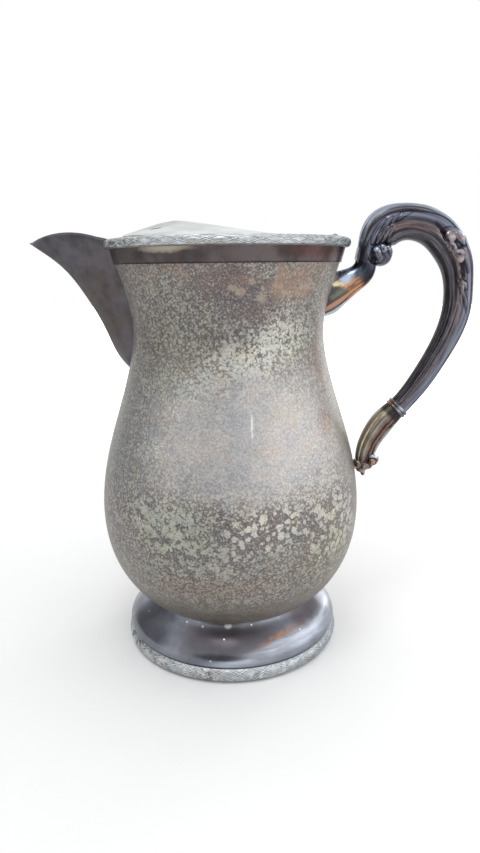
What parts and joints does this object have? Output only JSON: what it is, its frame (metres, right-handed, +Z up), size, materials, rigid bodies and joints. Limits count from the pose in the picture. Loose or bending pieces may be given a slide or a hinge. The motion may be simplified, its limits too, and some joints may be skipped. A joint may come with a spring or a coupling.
{
  "type": "claret jug",
  "caption": "Footed baluster serving jug with a hinged domed lid, a beak spout, leaf borders and a cast double-scroll handle.",
  "frame": {"origin": "on the jug's vertical axis, on the plane that its foot stands on", "axes": "+Z up, spout towards -X, handle towards +X, lid's hinge pin along Y"},
  "size_m": [0.2078, 0.1268, 0.2133],
  "materials": {
    "body_patina": "mottled tarnished silver plate",
    "rim_plate": "smooth dark silver plate",
    "leaf_border": "cast leaf border, worn bright",
    "spout_plate": "smooth dark silver plate",
    "foot_plate": "polished dark silver plate",
    "foot_border_plate": "cast leaf border, mottled",
    "handle_cast": "cast fluted silver plate, polished and dark in the hollows",
    "socket_bright": "bright silver plate",
    "heel_cast": "worn silver plate, brassy",
    "hinge_metal": "silver plate",
    "lid_plate": "bright silver plate"
  },
  "bodies": {
    "jug": {"body_shell": "body_patina", "rim_band": "rim_plate", "rim_border": "leaf_border", "spout": "spout_plate", "foot": "foot_plate", "foot_border": "foot_border_plate", "handle_upper_socket": "socket_bright", "spout_lip": "spout_plate", "handle_grip": "handle_cast", "handle_upper_volute": "handle_cast", "handle_collar": "handle_cast", "handle_lower_socket": "heel_cast", "handle_lower_volute": "heel_cast", "handle_foot_leaf": "heel_cast", "fixed_hinge_leaf": "hinge_metal", "hinge_pin": "hinge_metal"},
    "lid": {"lid": "lid_plate", "lid_bezel": "lid_plate", "lid_hinge_leaf": "hinge_metal"}
  },
  "joints": [
    {"name": "lid_hinge", "type": "hinge", "parent": "jug", "child": "lid", "pos_m": [0.0489, 0, 0.19795], "axis": [0, 1, 0], "range_deg": [0, 100]}
  ]
}
